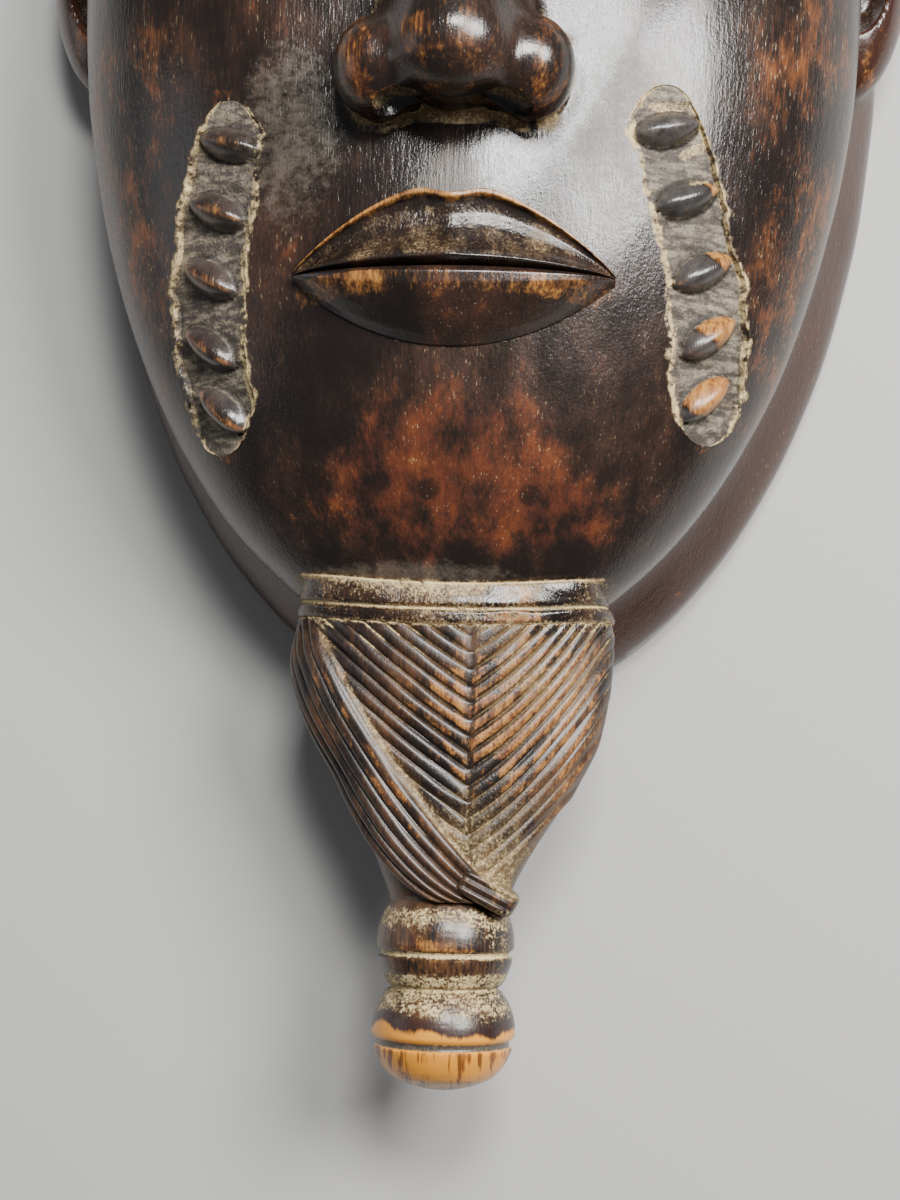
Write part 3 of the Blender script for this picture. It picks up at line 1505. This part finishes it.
@dataclass(frozen=True)
class Lamp:
    """A soft square light, placed in metres with y counted from the foot of the chin."""

    name: str
    place: tuple[float, float, float]
    size: float
    power: float
    colour: tuple[float, float, float]

    def hang(self, shift_y: float) -> None:
        """Adds the light and turns it to the mask, which was moved along y by shift_y.

        Args:
            shift_y: How far the mask was moved along y, in metres.
        """
        x, y, z = self.place
        place = Vector((x, shift_y + y, z))
        bpy.ops.object.select_all(action="DESELECT")
        bpy.ops.object.light_add(type="AREA", location=place)
        lamp = bpy.context.object
        lamp.name = self.name
        lamp.data.size = self.size
        lamp.data.energy = self.power
        lamp.data.color = self.colour
        aim = Vector((0, shift_y, 0.04)) - place
        lamp.rotation_euler = aim.to_track_quat("-Z", "Y").to_euler()


@dataclass(frozen=True)
class Studio:
    """The floor, lights and camera, for a mask that was moved along y by shift_y metres."""

    shift_y: float
    lens_pixels: float = 1783.0
    frame_pixels: tuple[int, int] = (900, 1200)
    sensor_width: float = 36.0
    target: tuple[float, float, float] = (0.1, -3.7, 50.0)
    distance: float = 337.8
    lean_x: float = 3.4
    lean_y: float = 7.4
    roll: float = 1.6
    floor_size: float = 6.0
    floor_colour: tuple[float, ...] = (0.43, 0.426, 0.42, 1)
    floor_roughness: float = 0.9
    sky_colour: tuple[float, ...] = (0.93, 0.95, 1.0, 1)
    sky_strength: float = 0.15
    lamps: tuple[Lamp, ...] = (
        Lamp("key", (0.41, 0.22, 0.62), 0.30, 10.0, (1, 0.98, 0.95)),
        Lamp("top", (0.10, 0.33, 0.72), 0.20, 6.8, (1, 0.99, 0.97)),
        Lamp("fill", (-0.75, 0.05, 0.28), 0.40, 0.5, (0.92, 0.96, 1)),
    )

    def floor(self) -> None:
        """Makes the plain pale floor."""
        bpy.ops.object.select_all(action="DESELECT")
        bpy.ops.mesh.primitive_plane_add(size=self.floor_size, location=(0, 0, 0))
        floor = bpy.context.object
        floor.name = "floor"
        material = bpy.data.materials.new("floor_paper")
        material.use_nodes = True
        shader = material.node_tree.nodes["Principled BSDF"]
        shader.inputs["Base Color"].default_value = self.floor_colour
        shader.inputs["Roughness"].default_value = self.floor_roughness
        floor.data.materials.append(material)

    def sky(self) -> None:
        """Sets the faint light from all round."""
        world = bpy.data.worlds.new("studio")
        world.use_nodes = True
        background = world.node_tree.nodes["Background"]
        background.inputs["Color"].default_value = self.sky_colour
        background.inputs["Strength"].default_value = self.sky_strength
        bpy.context.scene.world = world

    def camera(self) -> None:
        """Sets the camera over the chin, looking down as the photograph does."""
        x, y, z = (value * MM for value in self.target)
        target = Vector((x, y + self.shift_y, z))
        lean_x, lean_y = math.radians(self.lean_x), math.radians(self.lean_y)
        back = Vector((math.sin(lean_x), -math.sin(lean_y), math.cos(lean_x) * math.cos(lean_y)))
        back.normalize()
        right = Vector((0, 1, 0)).cross(back).normalized()
        up = back.cross(right)
        turn = Matrix.Rotation(math.radians(self.roll), 3, back)
        axes = Matrix((turn @ right, turn @ up, back)).transposed().to_4x4()
        data = bpy.data.cameras.new("camera")
        data.sensor_width = self.sensor_width
        data.lens = data.sensor_width * self.lens_pixels / max(self.frame_pixels)
        data.clip_start = 0.01
        camera = bpy.data.objects.new("camera", data)
        bpy.context.scene.collection.objects.link(camera)
        camera.matrix_world = Matrix.Translation(target + back * self.distance * MM) @ axes
        bpy.context.scene.camera = camera

    def build(self) -> None:
        """Builds the whole studio."""
        self.floor()
        self.sky()
        for lamp in self.lamps:
            lamp.hang(self.shift_y)
        self.camera()


class Signal:
    """One output in a material, used in sums like a number."""

    def __init__(self, tree: bpy.types.NodeTree, socket: bpy.types.NodeSocket) -> None:
        """Wraps a node's output socket."""
        self.tree = tree
        self.socket = socket

    @classmethod
    def add(
        cls,
        tree: bpy.types.NodeTree,
        kind: str,
        inputs: dict[int | str, object],
        output: int | str = 0,
        **settings: object,
    ) -> Signal:
        """Adds a node, sets it and links its inputs.

        Args:
            tree: The material's nodes.
            kind: The node's type.
            inputs: Signals or plain values, by the input's name or place.
            output: The output that is wanted.
            settings: The node's own settings.

        Returns:
            The wanted output.
        """
        node = tree.nodes.new(kind)
        for key, value in settings.items():
            setattr(node, key, value)
        for key, value in inputs.items():
            if isinstance(value, Signal):
                tree.links.new(value.socket, node.inputs[key])
            else:
                node.inputs[key].default_value = value
        return cls(tree, node.outputs[output])

    def math(self, operation: str, *values: Signal | float) -> Signal:
        """Returns the operation on this signal and the other values."""
        inputs = dict(enumerate((self, *values)))
        return self.add(self.tree, "ShaderNodeMath", inputs, operation=operation)

    def vector(self, operation: str, value: Sequence[float]) -> Signal:
        """Returns the vector operation on this signal and the other value."""
        inputs = {0: self, 1: value}
        return self.add(self.tree, "ShaderNodeVectorMath", inputs, operation=operation)

    def ramp(self, low: float, high: float) -> Signal:
        """Returns 0 below low and 1 above high, with an eased rise between."""
        inputs = {"Value": self, "From Min": low, "From Max": high}
        settings = {"interpolation_type": "SMOOTHSTEP"}
        return self.add(self.tree, "ShaderNodeMapRange", inputs, "Result", **settings)

    def blend(self, first: object, second: object) -> Signal:
        """Returns the first colour where this signal is 0 and the second where it is 1."""
        inputs = {0: self, 6: first, 7: second}
        return self.add(self.tree, "ShaderNodeMix", inputs, 2, data_type="RGBA")

    def __add__(self, other: Signal | float) -> Signal:
        return self.math("ADD", other)

    def __sub__(self, other: Signal | float) -> Signal:
        return self.math("SUBTRACT", other)

    def __mul__(self, other: Signal | float) -> Signal:
        return self.math("MULTIPLY", other)

    def __rsub__(self, other: float) -> Signal:
        return self.math("MULTIPLY", -1.0).math("ADD", other)

    __radd__ = __add__
    __rmul__ = __mul__


@dataclass(frozen=True)
class Patina:
    """The colours of old, handled, dusty wood."""

    black: tuple[float, ...] = (0.010, 0.0068, 0.0058, 1)
    brown: tuple[float, ...] = (0.040, 0.019, 0.012, 1)
    red: tuple[float, ...] = (0.105, 0.026, 0.012, 1)
    umber: tuple[float, ...] = (0.17, 0.055, 0.014, 1)
    bare: tuple[float, ...] = (0.44, 0.20, 0.046, 1)
    bare_dark: tuple[float, ...] = (0.13, 0.036, 0.009, 1)
    tan: tuple[float, ...] = (0.70, 0.285, 0.026, 1)
    dust: tuple[float, ...] = (0.60, 0.47, 0.245, 1)
    dust_dark: tuple[float, ...] = (0.145, 0.09, 0.038, 1)
    ground: tuple[float, ...] = (0.050, 0.040, 0.032, 1)
    ground_pale: tuple[float, ...] = (0.25, 0.21, 0.15, 1)
    plait: tuple[float, ...] = (0.095, 0.042, 0.016, 1)
    rim: tuple[float, ...] = (0.042, 0.015, 0.009, 1)
    film: tuple[float, ...] = (0.135, 0.112, 0.085, 1)
    fringe: tuple[float, ...] = (0.028, 0.011, 0.010, 1)
    grey: tuple[float, ...] = (0.115, 0.11, 0.11, 1)


class OldWood:
    """The mask's finish, laid out in millimetres on the face's axes."""

    beard_foot = (-9.5, -8.5)
    knobs_top = (-62.0, -61.0)
    collar_top = (0.0, 1.5)
    front_z = (33, 36)
    brow_y = (92.0, 110.0)
    outer_x, outer_y, outer_z = (46, 64), (5, 40), (30, 36)
    rim_z = (22, 34)
    open_pores = (0.3, 0.55)
    knots = ((-13, 17), (-4, 15.5), (15, 15))
    score_y = 87.9
    seam_y = 86.98
    tip_y = 96.0
    bump_strength = 0.6
    bump_depth = 0.16 * MM
    coat_roughness = 0.14

    def __init__(self, patina: Patina, shift_y: float) -> None:
        """Takes the colours and how far the mask was moved along y, in metres."""
        self.patina = patina
        self.material = bpy.data.materials.new("mask_wood")
        self.material.use_nodes = True
        self.tree = self.material.node_tree
        coordinates = Signal.add(self.tree, "ShaderNodeTexCoord", {}, "Object")
        moved = coordinates.vector("SUBTRACT", (0, shift_y, 0))
        self.place = moved.vector("MULTIPLY", (1 / MM,) * 3)
        self.x, self.y, self.z = (self.axis(name) for name in "XYZ")

        self.broad = self.noise((28, 40, 28), 2, 1.0)
        self.mottle = self.noise((6, 11, 6), 4, 2.0)
        self.grain = self.noise((0.5, 7, 0.5), 2, 3.0)
        self.fleck = self.noise((1.5, 4, 1.5), 3, 4.0)
        self.fine = self.noise((0.5, 0.6, 0.5), 1, 5.0)
        self.pores = self.noise((0.34, 2.8, 0.34), 1, 6.0)
        self.crumbs = self.noise((2.2, 1.5, 2.2), 3, 8.0)
        self.fold = self.noise((5.0, 1.3, 5.0), 3, 10.0)

        self.cavity = self.field("cavity")
        self.form = self.field("form")
        self.across = self.field("across")
        self.mark = self.field("mark").ramp(0.1, 0.3)
        self.worn = self.field("worn")
        self.dusty = self.field("dusty")
        self.scored = self.field("scored")

        below_face = self.y.ramp(*self.beard_foot)
        front = self.z.ramp(*self.front_z)
        side = self.x.math("ABSOLUTE").ramp(*self.outer_x)
        self.beard = 1.0 - below_face
        self.knob = 1.0 - self.y.ramp(*self.knobs_top)
        self.collar = (below_face - self.y.ramp(*self.collar_top)) * front
        self.brow = self.y.ramp(*self.brow_y)
        self.outer = side * self.y.ramp(*self.outer_y) * self.z.ramp(*self.outer_z)
        self.inside = 1.0 - (self.across + self.fleck * 0.12 + self.fine * 0.06).ramp(0.94, 1.02)
        self.ground = self.inside * (1.0 - self.mark)
        self.crease = self.cavity.ramp(0.03, 0.2)

    def axis(self, name: str) -> Signal:
        """Returns one coordinate of the place, in millimetres."""
        return Signal.add(self.tree, "ShaderNodeSeparateXYZ", {0: self.place}, name)

    def field(self, name: str) -> Signal:
        """Returns one of the mesh's point attributes."""
        return Signal.add(self.tree, "ShaderNodeAttribute", {}, "Fac", attribute_name=name)

    def noise(self, cell: Sequence[float], detail: float, seed: float) -> Signal:
        """Returns noise about 0, mostly within half a unit, with cells of the given size."""
        place = self.place.vector("DIVIDE", cell).vector("ADD", (seed, seed * 1.7, seed * 0.6))
        inputs = {"Vector": place, "Scale": 1.0, "Detail": detail, "Roughness": 0.62}
        return (Signal.add(self.tree, "ShaderNodeTexNoise", inputs, 0) - 0.5) * 2.0

    def hill(self, centre: Sequence[float], reach: Sequence[float]) -> Signal:
        """Returns a round patch, 1 at its centre and 0 past its reach."""
        across = (self.x - centre[0]) * (1 / reach[0])
        along = (self.y - centre[1]) * (1 / reach[1])
        return 1.0 - (across * across + along * along).ramp(0.0, 1.0)

    def chin(self) -> Signal:
        """Returns where the chin is rubbed to a red glow."""
        chin = self.hill((0, 17), (33, 21)) * 0.9 + self.hill((24, 12), (14, 9)) * 0.5
        chin = chin + self.mottle * 1.5 + self.broad * 0.8 + self.grain * 0.2 - 0.35
        return chin.ramp(0.0, 1.0)

    def stain(self) -> Signal:
        """Returns the colour of the stained wood, darkest where it wasn't handled."""
        patina = self.patina
        mottle, fleck, grain = self.mottle, self.fleck, self.grain
        tone = self.broad * 0.7 + mottle * 0.6 + grain * 0.35
        colour = tone.ramp(-0.25, 0.55).blend(patina.black, patina.brown)
        plait = self.beard.math("MAXIMUM", self.collar * 0.7)
        plait = plait * (tone * 1.2 + 0.36 + self.knob * (grain * 0.8 - 0.1)).ramp(0.0, 1.0)
        colour = plait.blend(colour, patina.plait)
        chin = self.chin()
        red = (fleck * 0.5 + grain * 0.35 + mottle * 0.8 + 0.6).ramp(0.0, 1.0)
        colour = (chin * 0.9).blend(colour, red.blend(patina.brown, patina.red))
        core = chin * (mottle * 1.4 + fleck * 0.5 - 0.05).ramp(0.0, 0.9)
        colour = (core * 0.45).blend(colour, patina.umber)
        for spot in self.knots:
            knot = (self.hill(spot, (3.2, 2.8)) + mottle * 0.7 + fleck * 0.5).ramp(0.3, 0.9)
            colour = (knot * 0.8).blend(colour, patina.black)
        flecks = fleck * 0.4 + grain * 0.5 + mottle * 0.9 + self.broad * 0.5 + self.outer * 0.2
        flecks = flecks.ramp(0.1, 0.85) * (self.outer * 0.85 + chin * 0.3 + 0.06)
        colour = flecks.blend(colour, patina.umber)
        return ((1.0 - self.z.ramp(*self.rim_z)) * 0.75).blend(colour, patina.rim)

    def specks(self) -> Signal:
        """Returns the pale dust in the wood's open pores."""
        patch = (self.mottle + self.broad + self.outer * 0.3).ramp(-0.1, 0.6)
        return self.pores.ramp(*self.open_pores) * patch * 0.4

    def film(self) -> Signal:
        """Returns the grey film of dust on the cheeks, over the lip and under the chin."""
        film = self.hill((-31, 80), (15, 24)) + self.hill((31, 80), (15, 24))
        film = film + self.hill((0, 70), (12, 9)) + self.hill((-8, 1), (30, 3.4))
        film = film * 0.9 + self.mottle * 0.45 + self.crumbs * 0.8 + self.fine * 0.3 - 0.3
        return film.ramp(0.0, 1.0) * 0.5

    def bare(self) -> Signal:
        """Returns where the wood is rubbed bare: on edges and where it was handled."""
        edge = (self.cavity * -1.0).ramp(0.04, 0.24)
        bare = edge * 0.8 + self.worn * 1.3
        bare = bare + self.mottle * 0.7 + self.fleck * 0.5 + self.grain * 0.3 - 0.6
        bare = bare + self.beard * (self.crumbs * 0.8 - 0.12)
        return bare.ramp(0.0, 0.8) * (1.0 - self.beard * 0.2) * (1.0 - self.scored * 0.8)

    def bare_colour(self) -> Signal:
        """Returns the colour of the bare wood."""
        tone = self.fleck * 0.9 + self.grain * 0.7 + self.fine * 0.8 * self.beard
        tone = (tone + self.worn * 0.4 + 0.15).ramp(0.0, 1.0)
        return tone.blend(self.patina.bare_dark, self.patina.bare)

    def with_end(self, colour: Signal, fringe: Signal, end: Signal) -> Signal:
        """Returns the colour with the pale, streaked end of the lower knob and its dark fringe.

        Args:
            colour: The colour so far.
            fringe: Where the dark fringe of the pale end is.
            end: Where the pale end is.

        Returns:
            The new colour.
        """
        patina = self.patina
        colour = (fringe * 0.85).blend(colour, patina.fringe)
        up = self.y + self.score_y
        below = up.ramp(-7.0, 0.0) * (1.0 - up.ramp(0.0, 0.2))
        foot = 1.0 - (self.y + self.tip_y + self.crumbs * 2.0).ramp(0.5, 5.0)
        streak = self.noise((1.0, 20, 9), 3, 7.0) + self.mottle * 0.3 + below * 0.45 + foot * 0.4
        tone = (self.mottle * 0.7 + self.fleck * 0.5 + foot * 0.7 + 0.1).ramp(0.0, 1.1)
        pale = tone.blend(patina.tan, patina.bare)
        pale = (streak.ramp(0.35, 0.6) * 0.9).blend(pale, patina.bare_dark)
        return end.blend(colour, pale)

    def with_bands(self, colour: Signal) -> Signal:
        """Returns the colour with the grey marks and the pale rough ground of the bands.

        Args:
            colour: The colour so far.

        Returns:
            The new colour.
        """
        patina = self.patina
        grey = self.mark * (1.0 - self.worn.ramp(0.1, 0.6))
        grey = grey * (self.mottle * 0.8 + self.fleck * 0.4 + 0.65).ramp(0.0, 1.0)
        colour = (grey * 0.4).blend(colour, patina.grey)
        tone = self.fine * 0.4 + self.crumbs * 0.7 + self.mottle * 0.5 + self.fold * 1.1 + 0.34
        tone = tone.ramp(0.0, 1.0).blend(patina.ground, patina.ground_pale)
        return self.ground.blend(colour, tone)

    def band_rim(self) -> Signal:
        """Returns the line of dust along the edge of the bands."""
        rim = 1.0 - ((self.across + self.fleck * 0.2 - 0.99).math("ABSOLUTE")).ramp(0.05, 0.15)
        return rim * (self.mottle + self.crumbs * 1.3 + 0.5).ramp(0.0, 0.6)

    def dust(self, rim: Signal, speckle: Signal, fringe: Signal) -> Signal:
        """Returns how thick the dust lies.

        Args:
            rim: The line of dust along the edge of the bands.
            speckle: Fine noise that breaks up the dust.
            fringe: Where the dark fringe of the pale end is.

        Returns:
            The thickness, from 0 to 1.
        """
        beard, brow, fine = self.beard, self.brow, self.fine
        dust = self.crease * (0.7 - beard * 0.5 - brow * 0.35 - self.inside * 0.5)
        dust = dust + self.dusty * 0.85 + self.scored * 0.85
        dust = dust + self.form.ramp(0.1, 0.8) * (0.25 - beard * 0.2 - brow * 0.1)
        dust = dust + self.mottle * 0.5 + fine * 0.25 + (self.knob + self.collar) * speckle * 0.8
        return (dust - fringe * 0.9 - 0.45).ramp(0.0, 0.6).math("MAXIMUM", rim)

    def dust_colour(self, rim: Signal, speckle: Signal) -> Signal:
        """Returns the colour of the dust, palest where it lies thick.

        Args:
            rim: The line of dust along the edge of the bands.
            speckle: Fine noise that breaks up the dust.

        Returns:
            The colour.
        """
        beard, knob = self.beard, self.knob
        pale = self.scored.ramp(0.6, 0.95)
        shade = speckle * (1.0 + beard * 0.25 + knob * 0.5) + rim * 0.5 + pale * 0.7
        shade = shade + self.crease * 0.15 + 0.1 + self.dusty.ramp(0.6, 1.0) * 0.35
        shade = (shade - (beard - knob) * 0.2 * (1.0 - pale)).ramp(0.0, 1.0)
        return shade.blend(self.patina.dust_dark, self.patina.dust)

    def with_seam(self, colour: Signal, speckle: Signal) -> Signal:
        """Returns the colour with the dirt in the lower knob's ring."""
        seam = 1.0 - ((self.y + self.seam_y).math("ABSOLUTE") + self.fine * 0.2).ramp(0.5, 0.8)
        dirt = (speckle + 0.35).ramp(0.0, 1.0).blend(self.patina.ground, self.patina.film)
        return seam.blend(colour, dirt)

    def relief(self) -> Signal:
        """Returns the height of grain, pores and caked dust."""
        relief = self.grain * 0.35 + self.fine * 0.25 + self.fleck * 0.4
        relief = relief * (1.0 - self.beard * 0.6)
        relief = relief - self.pores.ramp(*self.open_pores) * 0.2
        relief = relief + (self.ground + self.dusty * 0.6) * self.fine * 0.8
        return relief + self.ground * (self.fold + self.crumbs) * 0.9

    def build(self) -> bpy.types.Material:
        """Builds the finish and returns its material."""
        patina = self.patina
        wave = self.noise((9, 30, 9), 1, 9.0)
        end = self.y * -1.0 + wave * 3.4 + self.mottle * 1.2 + self.grain * 0.7
        fringe = end.ramp(81.6, 83.4) * (1.0 - end.ramp(85.2, 85.6))
        specks, film, bare = self.specks(), self.film(), self.bare()
        rim = self.band_rim()
        speckle = self.fine * 0.6 + self.crumbs * 0.6
        dust = self.dust(rim, speckle, fringe)

        colour = specks.blend(self.stain(), patina.dust)
        colour = film.blend(colour, patina.film)
        colour = bare.blend(colour, self.bare_colour())
        colour = self.with_end(colour, fringe, end.ramp(84.0, 85.0))
        colour = self.with_bands(colour)
        colour = (self.crease * 0.75).blend(colour, patina.black)
        colour = dust.blend(colour, self.dust_colour(rim, speckle))
        colour = self.with_seam(colour, speckle)

        matt = dust.math("MAXIMUM", self.ground * 0.9).math("MAXIMUM", specks * 0.6)
        matt = matt.math("MAXIMUM", film * 0.8)
        matt = matt.math("MAXIMUM", self.beard * 0.32 - self.knob * 0.17)
        rough = 0.26 + self.broad * 0.08 + self.mottle * 0.12 + bare * 0.12 + matt * 0.5
        bump = {
            "Strength": self.bump_strength,
            "Distance": self.bump_depth,
            "Height": self.relief(),
        }
        links = {
            "Base Color": colour,
            "Roughness": rough,
            "Coat Weight": (1.0 - matt) * (0.25 - self.outer * 0.2),
            "Normal": Signal.add(self.tree, "ShaderNodeBump", bump, "Normal"),
        }
        shader = self.tree.nodes["Principled BSDF"]
        for name, signal in links.items():
            self.tree.links.new(signal.socket, shader.inputs[name])
        shader.inputs["Coat Roughness"].default_value = self.coat_roughness
        shader.inputs["Specular IOR Level"].default_value = 0.5
        return self.material


def main() -> None:
    """Builds the mask and its studio around the loaded frame."""
    logging.basicConfig(level=logging.INFO, format="%(name)s: %(message)s")
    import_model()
    low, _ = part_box("mask")
    mask = Mask(low[1])
    carving = mask.build()
    carving.data.materials.clear()
    carving.data.materials.append(OldWood(Patina(), mask.shift_y).build())
    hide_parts("mask")
    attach(carving, "root")
    Studio(mask.shift_y).build()


if __name__ == "__main__":
    main()
